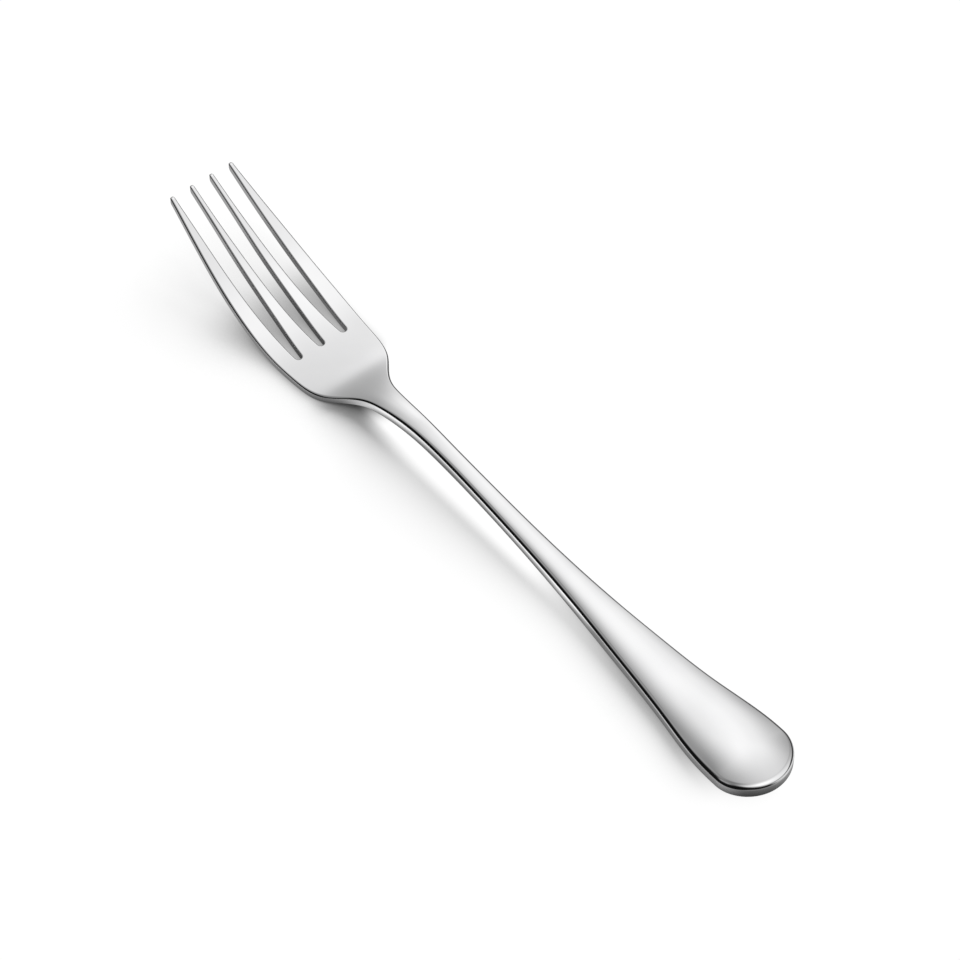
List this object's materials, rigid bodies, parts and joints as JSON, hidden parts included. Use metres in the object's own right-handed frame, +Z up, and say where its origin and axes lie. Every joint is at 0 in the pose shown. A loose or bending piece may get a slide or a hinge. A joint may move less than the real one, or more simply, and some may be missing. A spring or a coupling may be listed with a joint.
{
  "type": "dinner fork",
  "caption": "Polished steel dinner fork with a pear-shaped handle, a slim arched neck and a broad head whose tapering tines curve up to rounded tips, for lifting and piercing food.",
  "frame": {"origin": "middle of the fork's length and width, on the table plane that the fork rests on with its tines pointing up", "axes": "+X along the fork towards the tine tips, +Y to the fork's left seen from above with the tines pointing away, +Z up from the table"},
  "size_m": [0.2, 0.0238, 0.02],
  "materials": {
    "steel": "mirror-polished stainless steel, bare metal with no plating"
  },
  "bodies": {
    "root": {"handle_end": "steel", "stem": "steel", "neck": "steel", "head": "steel", "outer_tine_left": "steel", "inner_tine_left": "steel", "inner_tine_right": "steel", "outer_tine_right": "steel"}
  },
  "joints": []
}
